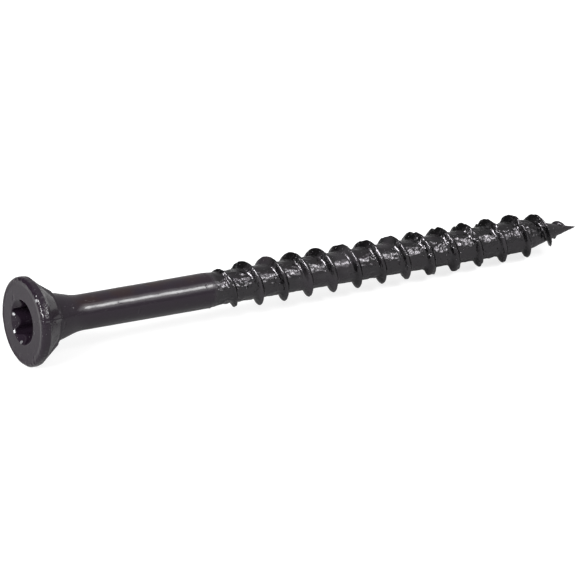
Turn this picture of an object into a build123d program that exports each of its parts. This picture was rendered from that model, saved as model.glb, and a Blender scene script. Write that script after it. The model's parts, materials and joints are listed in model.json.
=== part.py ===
from build123d import *
import os
from math import atan, cos, degrees, pi, radians, sin, tan

# A coarse-thread deck screw of coated steel wire, headed and thread rolled in one piece.
# All sizes are in millimetres and degrees.
# The screw is made along +X with its face at x = 0, then laid down as it comes to rest.
# Angles round the axis run from +Y towards +Z.

# Whole screw
length = 63.5
shank_diameter = 3.62

# Head
head_diameter = 9.1
shoulder_radius = 0.7
rim_land = 0.14
countersink_angle = 82.0
cone_foot_diameter = 5.66
cone_foot_land = 0.28
neck_diameter = 5.1
neck_step = 0.1
neck_angle = 31.0
neck_blend = 0.8

# Six-lobe recess
recess_across_points = 4.5
recess_across_waists = 3.25
lobe_radius = 0.38
recess_depth = 2.5
recess_floor_angle = 118.0
mouth_diameter = 4.66
mouth_angle = 104.0
lobe_count = 6
lobe_turn = 12.4

# Cutting nibs under the head
nib_count = 6
nib_height = 0.2
nib_start_depth = 0.03
nib_width = 0.5
nib_turn = 40.4

# Thread
thread_diameter = 4.78
root_diameter = 3.28
pitch = 2.82
flank_angle = 25.0
crest_width = 0.16
thread_start = 20.6
run_in_length = 4.8
root_taper_length = 1.8
crest_anchor = 32.05
crest_anchor_turn = 245.4

# Point
point_length = 6.2
point_tip_diameter = 0.06
crest_fall_length = 7.1
crest_fall_power = 2.0
crest_vanish = 0.4
thread_stop = 0.9

# Notches rolled into the crest of the last turns
notch_count = 18
notch_spacing = 87.5
notch_start = 44.8
notch_depth = 0.4
notch_angle = 90.0

# Working values for the thread's surfaces
points_per_turn = 16
ridge_sink = 0.3
crest_birth = 0.1
overcut = 0.2


def head_and_core():
    """The turned form: face, rounded rim, countersink, neck, shank, root and point."""
    rim = head_diameter / 2
    face = rim - shoulder_radius
    foot = cone_foot_diameter / 2
    neck = neck_diameter / 2
    shank = shank_diameter / 2
    root = root_diameter / 2
    land_end = shoulder_radius + rim_land
    cone_end = land_end + (rim - foot) / tan(radians(countersink_angle / 2))
    foot_end = cone_end + cone_foot_land
    neck_start = foot_end + neck_step
    neck_end = neck_start + (neck - shank) / tan(radians(neck_angle / 2))
    blend_start = (neck_end - neck_blend, shank + neck_blend * tan(radians(neck_angle / 2)))
    blend_end = (neck_end + neck_blend, shank)
    core_end = length - point_length
    with BuildPart() as turned:
        with BuildSketch(Plane.XY):
            with BuildLine():
                Line((0, 0), (0, face))
                JernArc(start=(0, face), tangent=(0, 1), radius=shoulder_radius, arc_size=-90)
                Polyline(
                    (shoulder_radius, rim),
                    (land_end, rim),
                    (cone_end, foot),
                    (foot_end, foot),
                    (neck_start, neck),
                    blend_start,
                )
                Bezier(blend_start, (neck_end, shank), blend_end)
                Polyline(
                    blend_end,
                    (thread_start, shank),
                    (thread_start + root_taper_length, root),
                    (core_end, root),
                    (length, point_tip_diameter / 2),
                    (length, 0),
                    (0, 0),
                )
            make_face()
        revolve(axis=Axis.X)
    return turned.part.solid()


def core_radius(s):
    """Radius of the wire under the thread at a distance s from the face."""
    shank = shank_diameter / 2
    root = root_diameter / 2
    if s < thread_start + root_taper_length:
        return shank + (root - shank) * max(0.0, s - thread_start) / root_taper_length
    core_end = length - point_length
    if s > core_end:
        return root + (point_tip_diameter / 2 - root) * (s - core_end) / point_length
    return root


def crest_radius(s):
    """Radius of the thread's crest: it rises out of the shank and falls to the tip."""
    full = thread_diameter / 2
    born = shank_diameter / 2 - crest_birth
    fall_start = length - crest_vanish - crest_fall_length
    if s < thread_start + run_in_length:
        return born + (full - born) * (s - thread_start) / run_in_length
    if s > fall_start:
        return full * (1 - ((s - fall_start) / crest_fall_length) ** crest_fall_power)
    return full


def ridge_share(s):
    """How wide the ridge is for its full width: it narrows as it gets lower."""
    return crest_radius(s) / (thread_diameter / 2)


def crest_turn(s):
    """Angle round the axis of the crest at a distance s from the face."""
    return crest_anchor_turn + 360 * (s - crest_anchor) / pitch


def helix_point(s, radius, along):
    """A point beside the crest line, moved by a distance along the axis."""
    turn = radians(crest_turn(s))
    return (s + along, radius * cos(turn), radius * sin(turn))


def ridge_edges(s_from, s_to):
    """The ridge's four long edges over one turn: rear root, two at the crest, front root."""
    rows = [[], [], [], []]
    for i in range(points_per_turn + 1):
        s = s_from + (s_to - s_from) * i / points_per_turn
        sunk = ridge_sink * core_radius(s)
        half_crest = crest_width / 2 * ridge_share(s)
        flank = (crest_radius(s) - sunk) * tan(radians(flank_angle))
        half_root = half_crest + flank * ridge_share(s)
        rows[0].append(helix_point(s, sunk, -half_root))
        rows[1].append(helix_point(s, crest_radius(s), -half_crest))
        rows[2].append(helix_point(s, crest_radius(s), half_crest))
        rows[3].append(helix_point(s, sunk, half_root))
    return [Spline(*row).edge() for row in rows]


def thread_ridge():
    """The thread as a closed solid: ruled flanks between helical edges, turn by turn."""
    first = thread_start + crest_width / 2
    last = length - thread_stop
    turns = round((last - first) / pitch)
    step = (last - first) / turns
    edges = [ridge_edges(first + step * i, first + step * (i + 1)) for i in range(turns)]
    faces = []
    for turn in edges:
        for i in range(4):
            faces.append(Face.make_surface_from_curves(turn[i], turn[(i + 1) % 4]))
    for turn, end in ((edges[0], 0), (edges[-1], 1)):
        corners = [edge @ end for edge in turn]
        faces.append(Face(Wire.make_polygon(corners, close=True)))
    return Solid(Shell(faces))


def notch_cutters():
    """V-shaped wedges square to the crest, evenly spaced round the last full turns."""
    cutters = []
    full = thread_diameter / 2
    reach = full + overcut
    half_mouth = (notch_depth + overcut) * tan(radians(notch_angle / 2))
    across = crest_width + 2 * (notch_depth + overcut) * tan(radians(flank_angle)) + overcut
    lead = degrees(atan(pitch / (pi * thread_diameter)))
    for i in range(notch_count):
        s = notch_start + pitch * notch_spacing / 360 * i
        with BuildPart() as wedge:
            with BuildSketch(Plane.YZ):
                with BuildLine():
                    Polyline(
                        (full - notch_depth, 0),
                        (reach, half_mouth),
                        (reach, -half_mouth),
                        close=True,
                    )
                make_face()
            extrude(amount=across / 2, both=True)
        square_to_crest = wedge.part.rotate(Axis.Y, lead)
        cutters.append(square_to_crest.rotate(Axis.X, crest_turn(s)).translate((s, 0, 0)))
    return cutters


def lobe_outline():
    """The recess outline: six round lobes joined by six round flutes, all tangent."""
    outer = recess_across_points / 2
    waist = recess_across_waists / 2
    half_step = radians(180 / lobe_count)
    lobe_at = outer - lobe_radius
    flute = lobe_at ** 2 + waist ** 2 - 2 * lobe_at * waist * cos(half_step) - lobe_radius ** 2
    flute_radius = flute / (2 * (lobe_radius - waist + lobe_at * cos(half_step)))
    flute_at = waist + flute_radius
    share = lobe_radius / (lobe_radius + flute_radius)
    along = lobe_at + (flute_at * cos(half_step) - lobe_at) * share
    aside = flute_at * sin(half_step) * share
    with BuildSketch(Plane.YZ) as outline:
        with BuildLine():
            for i in range(lobe_count):
                turn = lobe_turn + 360 / lobe_count * i
                start = Vector(along, -aside).rotate(Axis.Z, turn)
                tip = Vector(outer, 0).rotate(Axis.Z, turn)
                end = Vector(along, aside).rotate(Axis.Z, turn)
                low = Vector(waist, 0).rotate(Axis.Z, turn + 180 / lobe_count)
                following = Vector(along, -aside).rotate(Axis.Z, turn + 360 / lobe_count)
                ThreePointArc(start, tip, end)
                ThreePointArc(end, low, following)
        make_face()
    return outline.sketch


def recess():
    """The punched drive recess: lobed walls, a drilled-looking floor and a coned mouth."""
    waist = recess_across_waists / 2
    walls = extrude(lobe_outline(), amount=recess_depth, dir=(1, 0, 0))
    mouth = mouth_diameter / 2
    mouth_depth = (mouth - waist) / tan(radians(mouth_angle / 2))
    floor_depth = waist / tan(radians(recess_floor_angle / 2))
    with BuildPart() as turned:
        with BuildSketch(Plane.XY):
            with BuildLine():
                Polyline(
                    (0, 0),
                    (0, mouth),
                    (mouth_depth, waist),
                    (recess_depth, waist),
                    (recess_depth + floor_depth, 0),
                    close=True,
                )
            make_face()
        revolve(axis=Axis.X)
    return walls + turned.part


def nibs():
    """Fins on the countersink that rise from the rim to a square end at the cone's foot."""
    rim = head_diameter / 2
    foot = cone_foot_diameter / 2
    half_cone = radians(countersink_angle / 2)
    land_end = shoulder_radius + rim_land
    cone_end = land_end + (rim - foot) / tan(half_cone)
    start = Vector(land_end, rim - nib_start_depth)
    end = Vector(cone_end + cone_foot_land / 2, foot + nib_height)
    lean = (end - start).normalized()
    depth = nib_height * 2
    fins = []
    for i in range(nib_count):
        base = Plane(origin=(start.X, start.Y, 0), x_dir=(0, 0, -1), z_dir=(lean.X, lean.Y, 0))
        with BuildPart() as fin:
            with BuildSketch(base):
                with BuildLine():
                    Polyline((0, 0), (nib_width, -depth), (-nib_width, -depth), close=True)
                make_face()
            extrude(amount=(end - start).length)
        fins.append(fin.part.rotate(Axis.X, nib_turn + 360 / nib_count * i))
    return fins


def rest_tilt():
    """How far the screw leans once its rim and a crest near the point both touch."""
    land_end = shoulder_radius + rim_land
    tilt = 90.0
    steps = 720
    for i in range(steps):
        s = length / 2 + (length / 2 - thread_stop) * i / steps
        down = -crest_radius(s) * sin(radians(crest_turn(s)))
        toe = s + crest_width / 2 * ridge_share(s)
        tilt = min(tilt, degrees(atan((head_diameter / 2 - down) / (toe - land_end))))
    return tilt


screw = head_and_core().fuse(thread_ridge())
screw = screw.cut(*notch_cutters())
screw = screw.fuse(*nibs())
screw = screw.cut(recess())
screw = screw.rotate(Axis.Y, rest_tilt())
box = screw.bounding_box()
screw = screw.translate((-box.center().X, -box.center().Y, -box.min.Z))

os.makedirs("parts", exist_ok=True)
export_step(screw, "parts/screw.step")
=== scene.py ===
import json

import bmesh
import bpy
import numpy as np
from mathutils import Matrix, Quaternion, Vector


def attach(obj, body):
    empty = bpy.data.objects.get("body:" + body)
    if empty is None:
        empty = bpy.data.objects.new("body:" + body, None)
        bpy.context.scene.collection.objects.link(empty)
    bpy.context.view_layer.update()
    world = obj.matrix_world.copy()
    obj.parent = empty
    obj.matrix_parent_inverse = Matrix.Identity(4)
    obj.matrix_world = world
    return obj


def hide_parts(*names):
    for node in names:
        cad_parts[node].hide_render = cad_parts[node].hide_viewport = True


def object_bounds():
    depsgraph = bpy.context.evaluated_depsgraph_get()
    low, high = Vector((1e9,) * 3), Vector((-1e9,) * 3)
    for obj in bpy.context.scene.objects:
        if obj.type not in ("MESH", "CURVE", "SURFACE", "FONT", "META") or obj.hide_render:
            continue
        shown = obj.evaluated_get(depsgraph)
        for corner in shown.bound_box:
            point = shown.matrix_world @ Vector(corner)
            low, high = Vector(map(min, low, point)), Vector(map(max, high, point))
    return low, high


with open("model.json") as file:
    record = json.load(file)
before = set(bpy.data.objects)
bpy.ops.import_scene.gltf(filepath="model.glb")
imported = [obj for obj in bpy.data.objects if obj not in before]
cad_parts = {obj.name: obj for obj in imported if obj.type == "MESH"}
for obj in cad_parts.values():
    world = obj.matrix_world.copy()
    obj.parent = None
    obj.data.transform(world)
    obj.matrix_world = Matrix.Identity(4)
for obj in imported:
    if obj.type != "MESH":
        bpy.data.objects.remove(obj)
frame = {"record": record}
cad_low, cad_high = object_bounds()

# The screw
# One length of carbon steel wire: the head is struck cold, the thread and its notches are rolled,
# and the whole is dipped and baked in a glossy black coating that pools a little and leaves pits.

mm = 0.001
mounts = {mount["name"]: mount for mount in frame["record"]["mounts"]}
face_centre = np.array(mounts["drive_recess"]["pos_m"])
along = -np.array(mounts["drive_recess"]["axis"])
along /= np.linalg.norm(along)
sideways = np.array([0.0, 1.0, 0.0])
upward = np.cross(along, sideways)

length = 63.5
shank = 3.62 / 2

# The skin is a grid: columns run along the screw and are evenly spaced round it, so that
# every notch and nib has a column down its middle.
columns = 144
first_turn = 73.06
turn = np.radians(first_turn + 360 / columns * np.arange(columns))

waves = np.random.default_rng(7)


def lumps(points, size, count=40):
    """Smooth lumps between about -1 and 1: the mean of many sine waves of about that
    length in random directions, read at each point, so that they close round the screw."""
    ways = waves.normal(size=(count, 3))
    ways /= np.linalg.norm(ways, axis=1)[:, None]
    rates = 2 * np.pi / (size * waves.uniform(0.7, 1.5, count))
    starts = waves.uniform(0, 2 * np.pi, count)
    total = np.zeros(points.shape[:-1])
    for way, rate, start in zip(ways, rates, starts):
        total += np.sin(points @ way * rate + start)
    return total / np.sqrt(count / 2) / 2


def upper(a, b, blend):
    """The greater of two heights, with a small curve that fills the inside corner where they
    are nearer to each other than the blend."""
    return np.maximum(a, b) + np.maximum(blend - np.abs(a - b), 0) ** 2 / (4 * blend)


def lower(a, b, blend):
    """The smaller of two heights, with the outside corner between them worn the same way."""
    return -upper(-a, -b, blend)


def on_axis(s, radius, angle):
    """Points at a distance s from the face, at a radius and an angle round the axis from the side
    towards the top, in millimetres in the screw's own frame."""
    s, radius, angle = np.broadcast_arrays(s, radius, angle)
    return np.stack([s, radius * np.cos(angle), radius * np.sin(angle)], axis=-1)


# Drive recess: six round lobes joined by six round flutes, all tangent, under a coned mouth,
# with a drilled-looking floor. It is punched, so its edges are rounded.
lobe_count = 6
lobe_turn = np.radians(12.4)
recess_points = 4.5 / 2
recess_waists = 3.25 / 2
lobe_radius = 0.38
recess_depth = 2.5
floor_slope = np.tan(np.radians(118 / 2))
mouth = 4.66 / 2
mouth_slope = np.tan(np.radians(104 / 2))
punched_edge = 0.3
mouth_edge = 0.05


def lobe_outline(angle):
    """Radius of the recess wall: the far side of a lobe's circle near its middle, and beyond
    the point of tangency the near side of the flute's circle."""
    half_step = np.pi / lobe_count
    lobe_at = recess_points - lobe_radius
    reach = lobe_at ** 2 + recess_waists ** 2 - lobe_radius ** 2
    reach -= 2 * lobe_at * recess_waists * np.cos(half_step)
    flute_radius = reach / (2 * (lobe_radius - recess_waists + lobe_at * np.cos(half_step)))
    flute_at = recess_waists + flute_radius
    share = lobe_radius / (lobe_radius + flute_radius)
    meet_along = lobe_at + (flute_at * np.cos(half_step) - lobe_at) * share
    meet_aside = flute_at * np.sin(half_step) * share
    off_lobe = np.abs((angle - lobe_turn + half_step) % (2 * half_step) - half_step)
    off_flute = half_step - off_lobe
    lobe_side = lobe_radius ** 2 - (lobe_at * np.sin(off_lobe)) ** 2
    flute_side = flute_radius ** 2 - (flute_at * np.sin(off_flute)) ** 2
    lobe = lobe_at * np.cos(off_lobe) + np.sqrt(np.maximum(lobe_side, 0))
    flute = flute_at * np.cos(off_flute) - np.sqrt(np.maximum(flute_side, 0))
    return np.where(off_lobe < np.arctan2(meet_aside, meet_along), lobe, flute)


def recess_rows():
    """Rows from the floor's centre to the mouth's edge: out over the floor's cone, up the
    lobed walls, round their edge, and out over the mouth."""
    wall = lobe_outline(turn)
    floor = np.linspace(0, 1, 9)[:, None] * recess_waists
    floor_s = recess_depth + (recess_waists - floor) / floor_slope
    floor_r = floor + 0 * turn
    ledge = np.linspace(0.35, 1, 3)[:, None]
    ledge_r = recess_waists + (wall - recess_waists) * ledge
    corner_s = (mouth - wall) / mouth_slope
    edge = np.minimum(punched_edge, (mouth - mouth_edge - wall) * 0.7)
    rise = np.linspace(0, 1, 12)[1:, None]
    wall_s = recess_depth + (corner_s + edge - recess_depth) * rise
    bend = np.linspace(0, 1, 7)[1:, None]
    bend_s = corner_s + edge * (1 - bend) ** 2 - edge / mouth_slope * bend ** 2
    bend_r = wall + edge * bend ** 2
    cone = np.linspace(0, 1, 5)[1:-1, None]
    cone_r = wall + edge + (mouth - mouth_edge - wall - edge) * cone
    cone_s = (mouth - cone_r) / mouth_slope
    s = np.vstack([floor_s + 0 * turn, recess_depth + 0 * ledge_r, wall_s, bend_s, cone_s])
    radius = np.vstack([floor_r, ledge_r, wall + 0 * wall_s, bend_r, cone_r])
    return s, radius


# Head: a flat ring of a face, a round shoulder, an 82 degree countersink with six cutting nibs
# that stand square at its foot, and a neck that tapers into the shank. The face is set back by
# a hair, so that the uneven coating stays within the length.
head = 9.1 / 2
shoulder = 0.45
face_set_back = 0.012
mouth_round = 0.15
land_round = 0.05
land_end = 0.84
cone_slope = np.tan(np.radians(82 / 2))
cone_foot = 5.66 / 2
cone_foot_land = 0.28
foot_round = 0.15
foot_edge = 0.06
foot_draft = 0.05
neck = 5.1 / 2
neck_step = 0.1
neck_slope = np.tan(np.radians(31 / 2))
neck_blend = 5.8
cone_end = land_end + (head - cone_foot) / cone_slope
foot_end = cone_end + cone_foot_land
neck_start = foot_end + neck_step
neck_end = neck_start + (neck - shank) / neck_slope
nib_count = 6
nib_turn = np.radians(first_turn - 32.5)
nib_height = 0.2
nib_start_depth = 0.03
nib_fall = 0.8
nib_fillet = 0.06
profile_step = 0.3

# Thread: it rises out of the shank, runs at full height, and falls with the point.
pitch = 2.82
crest_full = 4.78 / 2
root = 3.28 / 2
flank = np.tan(np.radians(25))
half_crest = 0.12
root_fillet = 0.3
thread_start = 20.6
run_in = 4.8
root_taper = 1.8
crest_anchor = 32.05
crest_anchor_turn = 245.4
point_start = length - 6.2
tip_radius = 0.03
crest_fall = 7.1
crest_vanish = 0.4
crest_birth = 0.1
crest_sharpens_from, crest_sharpens_over = 48, 8

notch_count = 18
notch_spacing = 87.5
notch_start = 44.8
notch_depth = 0.4
notch_slope = np.tan(np.radians(90 / 2))
notch_wear = 0.04

flats_from, flats_to = 35.0, 43.5
flat_turn = np.radians(63)
flat_half = np.radians(19)
squares_from, squares_to = 44.7, 50.4
square_turn = np.radians(243)
square_reach = np.radians(30)
square_half = 0.25


def softened(corners, steps=7):
    """A profile with each corner (s, radius, rounding) replaced by an arc of that rounding
    that touches both sides."""
    points = np.array([corner[:2] for corner in corners])
    roundings = [corner[2] for corner in corners[1:-1]]
    profile = [points[:1]]
    for rounding, before, at, after in zip(roundings, points, points[1:], points[2:]):
        back = (before - at) / np.linalg.norm(before - at)
        on = (after - at) / np.linalg.norm(after - at)
        half = np.arccos(np.clip(back @ on, -1, 1)) / 2
        middle = (back + on) / np.linalg.norm(back + on)
        centre = at + middle * rounding / np.sin(half)
        start = at + back * rounding / np.tan(half) - centre
        end = at + on * rounding / np.tan(half) - centre
        part = np.linspace(0, 1, steps)[:, None]
        bend = np.pi - 2 * half
        arc = (np.sin((1 - part) * bend) * start + np.sin(part * bend) * end) / np.sin(bend)
        profile.append(centre + arc)
    profile.append(points[-1:])
    return np.vstack(profile)


def resampled(profile, spacing):
    """The profile with every run longer than the spacing cut into equal steps."""
    rows = [profile[:1]]
    for before, at in zip(profile, profile[1:]):
        steps = max(1, int(np.ceil(np.linalg.norm(at - before) / spacing)))
        part = np.linspace(0, 1, steps + 1)[1:, None]
        rows.append(before + (at - before) * part)
    return np.vstack(rows)


def head_rows(last_s):
    """Rows from the mouth's edge over the face, rim, countersink and neck to the shank.
    A nib is a roof on the cone: its ridge rises evenly from under the cone to its foot."""
    corners = [
        (mouth_edge / mouth_slope, mouth - mouth_edge, 0),
        (face_set_back, mouth, mouth_round),
        (face_set_back, head, shoulder),
        (land_end, head, land_round),
        (cone_end, cone_foot, foot_round),
        (foot_end, cone_foot - foot_draft, foot_edge),
        (neck_start, neck, neck_step),
        (neck_end, shank, neck_blend),
        (last_s, shank, 0),
    ]
    profile = resampled(softened(corners), profile_step)
    s, radius = profile[:, :1], profile[:, 1:]
    step = 2 * np.pi / nib_count
    off_nib = (turn - nib_turn + step / 2) % step - step / 2
    nib_end = cone_end + cone_foot_land / 2
    ridge_start = head - nib_start_depth
    ridge_end = cone_foot + nib_height
    ridge = ridge_start + (ridge_end - ridge_start) * (s - land_end) / (nib_end - land_end)
    roof = ridge - np.abs(off_nib) * ridge * nib_fall
    roof = np.where((s > land_end) & (s < nib_end), roof, 0)
    return s + 0 * turn, upper(radius + 0 * turn, roof, nib_fillet)


def core_radius(s):
    """The wire under the thread: shank, a short taper to the root, then the cone of the point."""
    radius = shank + (root - shank) * np.clip((s - thread_start) / root_taper, 0, 1)
    cone = tip_radius + (root - tip_radius) * (length - s) / (length - point_start)
    return np.minimum(radius, cone)


def crest_radius(s):
    """The crest: it climbs evenly over the run-in, and falls as a square over the point."""
    climb = shank - crest_birth + (crest_full - shank + crest_birth) * (s - thread_start) / run_in
    fall = np.clip((s - (length - crest_vanish - crest_fall)) / crest_fall, 0, 1)
    return np.minimum(climb, crest_full) * (1 - fall ** 2)


# The thread's rows wind with it, one band of rows to a turn, so that crest and flanks are
# rows of their own. The band before the first fans out from a point on the bare shank.
turn_share = np.arange(columns) / columns
first_crest = crest_anchor + pitch * (first_turn - crest_anchor_turn) / 360
first_crest -= pitch * np.floor((first_crest - thread_start) / pitch + 1.2)
band_start = first_crest - pitch / 2
bands = int(np.ceil((length - band_start) / pitch)) + 1
root_steps, flank_steps, crest_steps = 9, 5, 4


def band_rows():
    """Distance of every row and column from the face, and of the crest it belongs to. A band
    is cut at its crest's edges and at the feet of its flanks, and evenly between them."""
    band = np.arange(bands + 1)[:, None, None]
    crest_s = first_crest + pitch * (band - 1) + pitch * turn_share
    height = np.maximum(crest_radius(crest_s) - core_radius(crest_s), 0.04)
    share = crest_radius(crest_s) / crest_full
    foot = half_crest + height * flank * share
    half = pitch / 2
    half, edge = half + 0 * foot, half_crest + 0 * foot
    cuts = [-half, -foot, -edge, edge, foot, half]
    counts = [root_steps, flank_steps, crest_steps, flank_steps, root_steps]
    rows = []
    for start, end, count in zip(cuts, cuts[1:], counts):
        rows.append(start + (end - start) * (np.arange(count) / count)[None, :, None])
    offset = np.concatenate(rows, axis=1)
    wound = np.where(band > 0, pitch * turn_share, 0)
    start = band_start + pitch * (np.maximum(band, 1) - 1) + wound
    width = np.where(band > 0, pitch, pitch * turn_share)
    s = start + width * (offset / pitch + 0.5)
    crest_s = crest_s + 0 * s
    rows_each = s.shape[1]
    return s.reshape(-1, columns), crest_s.reshape(-1, columns), rows_each


def thread_radius(s, crest_s):
    """The greater of the wire and the ridge. The ridge is a hyperbola with the flanks for its
    asymptotes, narrower where it is low, and a notch cuts a V into it at every notch spacing.
    In a few turns before the notches the rolling leaves a short flat along the crest, and in
    the first turns with notches it has pressed a stretch of the crest broad and square."""
    crest = crest_radius(crest_s)
    share = np.maximum(crest / crest_full, 0.05)
    crest_turn = crest_anchor_turn + 360 * (crest_s - crest_anchor) / pitch
    off_square = (np.radians(crest_turn) - square_turn + np.pi) % (2 * np.pi) - np.pi
    square = np.exp(-((off_square / square_reach) ** 2))
    square *= np.clip((crest_s - squares_from) / 0.3, 0, 1)
    square *= np.clip((squares_to - crest_s) / 0.3, 0, 1)
    off_crest = np.maximum(np.abs(s - crest_s) / share - square_half * square, 0)
    sharpened = np.clip((crest_s - crest_sharpens_from) / crest_sharpens_over, 0, 1)
    blunt = half_crest * (1 - sharpened / 2)
    ridge = crest - (np.sqrt(off_crest ** 2 + blunt ** 2) - blunt) / flank
    first_notch = crest_anchor_turn + 360 * (notch_start - crest_anchor) / pitch
    notch = np.clip(np.round((crest_turn - first_notch) / notch_spacing), 0, notch_count - 1)
    off_notch = np.radians(np.abs(crest_turn - first_notch - notch * notch_spacing)) * crest_full
    cut = crest_full - notch_depth + off_notch / notch_slope
    off_flat = np.abs((np.radians(crest_turn) - flat_turn + np.pi) % (2 * np.pi) - np.pi)
    flat = crest_full * np.cos(flat_half) / np.cos(np.minimum(off_flat, 1.2))
    flat = np.where((crest_s > flats_from) & (crest_s < flats_to), flat, 2 * crest_full)
    ridge = lower(np.minimum(ridge, flat), cut, notch_wear)
    return upper(core_radius(s), ridge, root_fillet)


recess_s, recess_r = recess_rows()
head_s, head_r = head_rows(band_start)
thread_s, crest_s, rows_each = band_rows()
thread_r = thread_radius(thread_s, crest_s)
past_tip = thread_s >= length
thread_s = np.minimum(thread_s, length)
thread_r[past_tip] = 0

grid_s = np.vstack([recess_s, head_s, thread_s])
grid_r = np.vstack([recess_r, head_r, thread_r])
straight_rows = len(recess_s) + len(head_s)
skin = on_axis(grid_s, grid_r, turn)

# The coating is a little lumpy all over. Between the turns of the thread it lies in patches of
# dimples, where the rolling leaves the steel rough, and the crest is nicked, more so by the point.
# The rim is uneven too, where the head was struck.
pool_size, pool_depth = 2.2, 0.006
patch_size = 5
dimple_size, dimple_depth = 0.9, 0.04
fleck_size, fleck_depth = 0.45, 0.026
nick_size, nick_depth, point_nick_depth = 0.7, 0.015, 0.03
rim_size, rim_depth = 1.1, 0.02
in_thread = np.clip((grid_s - thread_start) / 1.5, 0, 1) * np.clip((length - grid_s) / 1.5, 0, 1)
by_point = np.clip((grid_s - 35) / 10, 0, 1)
under_crest = np.clip((crest_full - grid_r) / 0.3, 0, 1)
patches = np.clip(0.75 + 0.7 * lumps(skin, patch_size), 0.25, 1.3)
patches += np.clip((26 - grid_s) / 4, 0, 0.4)
pooling = pool_depth * (lumps(skin, pool_size) - 1)
dimples = dimple_depth * lumps(skin, dimple_size) + fleck_depth * lumps(skin, fleck_size)
pooling += in_thread * under_crest * patches * dimples
nicks = (nick_depth + point_nick_depth * by_point) * (lumps(skin, nick_size) - 1)
pooling += in_thread * (1 - under_crest) * nicks
on_rim = np.clip((grid_r - 3.9) / 0.3, 0, 1) * np.clip((1.3 - grid_s) / 0.4, 0, 1)
pooling += on_rim * rim_depth * (lumps(skin, rim_size) - 1)

# A burr stands on the point, where the die let go of the last of the thread.
burr_s, burr_turn, burr_height = 60.95, np.radians(245), 0.22
burr_reach, burr_turn_reach = 0.17, 0.3125
off_burr = ((grid_s - burr_s) / burr_reach) ** 2 + ((turn - burr_turn) / burr_turn_reach) ** 2
pooling += burr_height * np.exp(-off_burr)
pooling[: len(recess_s)] = 0
grid_r = np.where(grid_r > 0.1, grid_r + pooling, grid_r)
skin = on_axis(grid_s, grid_r, turn)


def skin_faces():
    """Quads between neighbouring rows. Round the last column, a straight row closes on itself,
    and a winding one runs on into the row one band further."""
    rows = len(grid_s)
    row, column = np.mgrid[: rows - 1, :columns]
    last = column == columns - 1
    there = row + rows_each * (last & (row >= straight_rows))
    beyond = row + 1 + rows_each * (last & (row + 1 >= straight_rows))
    following = (column + 1) % columns
    corners = [(row, column), (row + 1, column), (beyond, following), (there, following)]
    quads = np.stack([at * columns + across for at, across in corners], axis=-1)
    return quads[np.maximum(there, beyond) < rows]


def placed(points):
    """The screw's own frame, in millimetres, to the row's, in metres."""
    return face_centre + (points @ np.stack([along, sideways, upward])) * mm


mesh = bpy.data.meshes.new("screw_skin")
mesh.from_pydata(placed(skin).reshape(-1, 3), [], skin_faces().tolist())
for name, share in (("rolled", in_thread * patches), ("knocked", on_rim)):
    shares = mesh.attributes.new(name, "FLOAT", "POINT")
    shares.data.foreach_set("value", share.ravel())
shell = bmesh.new()
shell.from_mesh(mesh)
bmesh.ops.remove_doubles(shell, verts=shell.verts, dist=2e-7)
bmesh.ops.delete(shell, geom=[v for v in shell.verts if not v.link_faces], context="VERTS")
bmesh.ops.recalc_face_normals(shell, faces=shell.faces)
shell.to_mesh(mesh)
shell.free()
mesh.polygons.foreach_set("use_smooth", np.ones(len(mesh.polygons), dtype=bool))
screw = bpy.data.objects.new("screw_skin", mesh)
bpy.context.scene.collection.objects.link(screw)


class Signal:
    """A shader socket. Arithmetic on it adds Math nodes to its tree."""

    def __init__(self, socket):
        self.socket = socket

    @staticmethod
    def node(tree, kind, settings, sockets):
        """A node of that kind: its settings are made first, then its sockets take values or
        signals, and its outputs come back as signals by name."""
        made = tree.nodes.new("ShaderNode" + kind)
        for name, value in settings.items():
            setattr(made, name, value)
        for key, value in sockets.items():
            if isinstance(value, Signal):
                tree.links.new(value.socket, made.inputs[key])
            else:
                made.inputs[key].default_value = value
        return {out.name: Signal(out) for out in made.outputs if out.enabled}

    def maths(self, operation, first, second):
        """A Math node on two values or signals."""
        tree = self.socket.node.id_data
        return Signal.node(tree, "Math", {"operation": operation}, {0: first, 1: second})["Value"]

    def __add__(self, other):
        return self.maths("ADD", self, other)

    def __radd__(self, other):
        return self.maths("ADD", other, self)

    def __sub__(self, other):
        return self.maths("SUBTRACT", self, other)

    def __rsub__(self, other):
        return self.maths("SUBTRACT", other, self)

    def __mul__(self, other):
        return self.maths("MULTIPLY", self, other)

    def __rmul__(self, other):
        return self.maths("MULTIPLY", other, self)


def ramp(value, low, high):
    """0 below the low value, 1 above the high one, and smooth between them."""
    tree = value.socket.node.id_data
    sockets = {"Value": value, "From Min": low, "From Max": high}
    return Signal.node(tree, "MapRange", {"interpolation_type": "SMOOTHSTEP"}, sockets)["Result"]


coating = bpy.data.materials.new("black_coating")
coating.use_nodes = True
tree = coating.node_tree
shader = tree.nodes["Principled BSDF"]
place = Signal.node(tree, "TexCoord", {}, {})["Object"]


def grain(scale, detail):
    """Noise with about that many lumps to a metre."""
    sockets = {"Vector": place, "Scale": scale, "Detail": detail, "Roughness": 0.55}
    return Signal.node(tree, "TexNoise", {}, sockets)["Fac"]


# The finest grain is bump: a faint peel and pits all over, and grit where the mesh's attributes
# say that the thread is rolled or the rim is knocked.
rolled = Signal.node(tree, "Attribute", {"attribute_name": "rolled"}, {})["Fac"]
knocked = Signal.node(tree, "Attribute", {"attribute_name": "knocked"}, {})["Fac"]
peel = grain(1100, 1.0)
grit = grain(3200, 1.5)
pits = ramp(grain(1300, 0), 0.27, 0.2) + ramp(grain(3900, 0), 0.27, 0.2) * 0.5
height = peel * 0.4 + rolled * grit * 1.9 + knocked * (grit * 2.4 + peel * 2.4) - pits * 1.5
bump = Signal.node(tree, "Bump", {}, {"Strength": 1.0, "Distance": 0.00003, "Height": height})
tree.links.new(bump["Normal"].socket, shader.inputs["Normal"])

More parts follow.
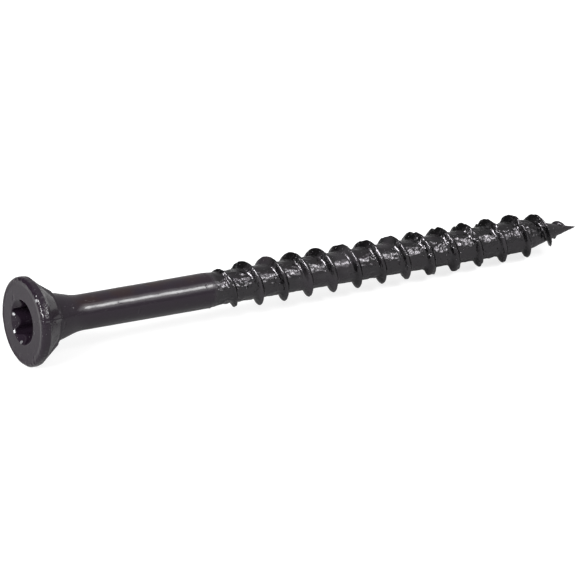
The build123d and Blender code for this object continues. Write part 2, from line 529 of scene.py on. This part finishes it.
# The coating is browner in patches along the top of the shank, past the neck. Head and neck are
# glossier.
brown_top_height, brown_top_start, gloss_end = (0.005, 0.006), (-0.027, -0.025), (-0.029, -0.024)
at = Signal.node(tree, "SeparateXYZ", {}, {0: place})
brown_top = ramp(grain(420, 2), 0.35, 0.6) * ramp(at["Z"], *brown_top_height)
brown_top *= ramp(at["X"], *brown_top_start)

# On the rolled thread the coating is thin and reflects like dark metal.
black = (0.0112, 0.0070, 0.0120, 1)
brown_black = (0.0145, 0.0068, 0.0075, 1)
thin_black = (0.066, 0.063, 0.067, 1)
# The bright steel below colours the chips, which are also painted glints.
bright_steel_glint = (0.6, 0.6, 0.62, 1)
tint = Signal.node(tree, "Mix", {"data_type": "RGBA"}, {0: brown_top, 6: black, 7: brown_black})
bare = ramp(rolled, 0, 0.6)

# The coating is chipped to bright steel at three places on the recess's mouth and one on the rim:
# these bright spots are chips and painted glints, set where highlights fall.
chip_glints = 0.0
chip_glint_edge, chip_glint_core = 0.2 * mm, 0.1 * mm
chip_glint_places = [(2.4, 2.11, 0.17), (-44.6, 2.29, 0.03), (-84.6, 2.2, 0.1), (129.7, 4.22, 0.02)]
for glint_spot_turn, radius, depth in chip_glint_places:
    glint_spot = placed(on_axis(depth, radius, np.radians(glint_spot_turn)))
    away = Signal.node(tree, "VectorMath", {"operation": "DISTANCE"}, {0: place, 1: tuple(glint_spot)})
    chip_glints = ramp(away["Value"], chip_glint_edge, chip_glint_core) + chip_glints
rubbed = Signal.node(tree, "Mix", {"data_type": "RGBA"}, {0: bare, 6: tint["Result"], 7: thin_black})
colours = {0: chip_glints, 6: rubbed["Result"], 7: bright_steel_glint}
chipped_and_glinting = Signal.node(tree, "Mix", {"data_type": "RGBA"}, colours)
tree.links.new(chipped_and_glinting["Result"].socket, shader.inputs["Base Color"])
tree.links.new((bare + chip_glints).socket, shader.inputs["Metallic"])
roughness = 0.1 + peel * 0.08 + bare * 0.03 + chip_glints * 0.3
roughness += ramp(at["X"], *gloss_end) * 0.05
tree.links.new(roughness.socket, shader.inputs["Roughness"])
shader.inputs["IOR"].default_value = 1.45
mesh.materials.append(coating)

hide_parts("screw")
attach(screw, "root")

# The bench, lamps and camera
# A pale bench under a white tent with a dark card behind the screw, on its head's side. A small
# lamp in front of a wide screen stands over the camera's right shoulder and draws the streak along
# the shank. A strip lamp stands on the head's side and draws the line round its shoulder.

bench_half = 1.5
bench_mesh = bpy.data.meshes.new("bench")
bench_corners = [
    (-bench_half, -bench_half, 0),
    (bench_half, -bench_half, 0),
    (bench_half, bench_half, 0),
    (-bench_half, bench_half, 0),
]
bench_mesh.from_pydata(bench_corners, [], [(0, 1, 2, 3)])
bench = bpy.data.objects.new("bench", bench_mesh)
bpy.context.scene.collection.objects.link(bench)
paper = bpy.data.materials.new("white_paper")
paper.use_nodes = True
paper_tree = paper.node_tree
paper_shader = paper_tree.nodes["Principled BSDF"]
paper_shader.inputs["Base Color"].default_value = (0.35, 0.35, 0.35, 1)
paper_shader.inputs["Roughness"].default_value = 1
paper_shader.inputs["Specular IOR Level"].default_value = 0
rays = Signal.node(paper_tree, "LightPath", {}, {})
paper_seen, paper_mirrored = 0.75, 0.05
glow = paper_seen * (rays["Is Camera Ray"] + rays["Is Transmission Ray"])
glow += paper_mirrored * rays["Is Glossy Ray"]
paper_shader.inputs["Emission Color"].default_value = (1, 1, 1, 1)
paper_tree.links.new(glow.socket, paper_shader.inputs["Emission Strength"])
bench_mesh.materials.append(paper)

world = bpy.data.worlds.new("tent")
bpy.context.scene.world = world
world.use_nodes = True
tent = world.node_tree
sky = tent.nodes["Background"]
sky.inputs["Color"].default_value = (1, 1, 1, 1)
tent_rays = Signal.node(tent, "LightPath", {}, {})
toward = Signal.node(tent, "TexCoord", {}, {})["Generated"]
card = (-0.5, 0.8, 0.33)
card_way = Signal.node(tent, "VectorMath", {"operation": "DOT_PRODUCT"}, {0: toward, 1: card})
tent_level, tent_mirrored, card_dims = 0.7, 0.48, 0.4
backdrop = tent_mirrored - ramp(card_way["Value"], 0.65, 0.95) * card_dims
seen_plain = tent_rays["Is Camera Ray"] + tent_rays["Is Transmission Ray"]
mirrored = tent_rays["Is Glossy Ray"]
strength = seen_plain + mirrored * backdrop + (1 - seen_plain - mirrored) * tent_level
tent.links.new(strength.socket, sky.inputs["Strength"])

middle = Vector((cad_low + cad_high) / 2)


def lamp(name, direction, distance, width, height, lean, watts):
    """A lamp at that distance from the screw in that direction, facing it, with its top
    leaning to its left by that many degrees."""
    light = bpy.data.lights.new(name, "AREA")
    light.shape, light.size, light.size_y, light.energy = "RECTANGLE", width, height, watts
    stand = bpy.data.objects.new(name, light)
    way = Vector(direction).normalized()
    stand.location = middle + way * distance
    facing = way.to_track_quat("Z", "Y")
    stand.rotation_euler = (facing @ Quaternion((0, 0, 1), np.radians(lean))).to_euler()
    bpy.context.scene.collection.objects.link(stand)


shoulder_way = (0.479, -0.605, 0.635)
strip_way = (-0.785, -0.318, 0.53)
lamp("shoulder_lamp", shoulder_way, distance=0.6, width=0.12, height=0.12, lean=0, watts=0.9)
lamp("shoulder_screen", shoulder_way, distance=0.62, width=0.42, height=0.42, lean=0, watts=1.1)
lamp("strip_lamp", strip_way, distance=0.5, width=0.13, height=0.26, lean=37, watts=3.7)

picture = 580
focal_pixels = 9600
face_at_pixel = (21.99, 322.35)
view_turn = np.radians(-29.285)
view_rise = np.radians(22.675)
pixel = 0.0985262 * mm
level = np.array([np.sin(view_turn), -np.cos(view_turn), 0])
back = level * np.cos(view_rise) + np.array([0, 0, np.sin(view_rise)])
right = np.array([np.cos(view_turn), np.sin(view_turn), 0])
up = np.cross(back, right)
aside, below = (np.array(face_at_pixel) - picture / 2) * pixel
eye = face_centre + back * focal_pixels * pixel - right * aside + up * below
camera_data = bpy.data.cameras.new("camera")
camera_data.sensor_width = 36
camera_data.lens = focal_pixels / picture * camera_data.sensor_width
camera_data.clip_start, camera_data.clip_end = 0.01, 10
camera = bpy.data.objects.new("camera", camera_data)
camera.location = eye
camera.rotation_euler = Vector(back).to_track_quat("Z", "Y").to_euler()
bpy.context.scene.collection.objects.link(camera)
bpy.context.scene.camera = camera
bpy.context.scene.view_settings.view_transform = "Standard"
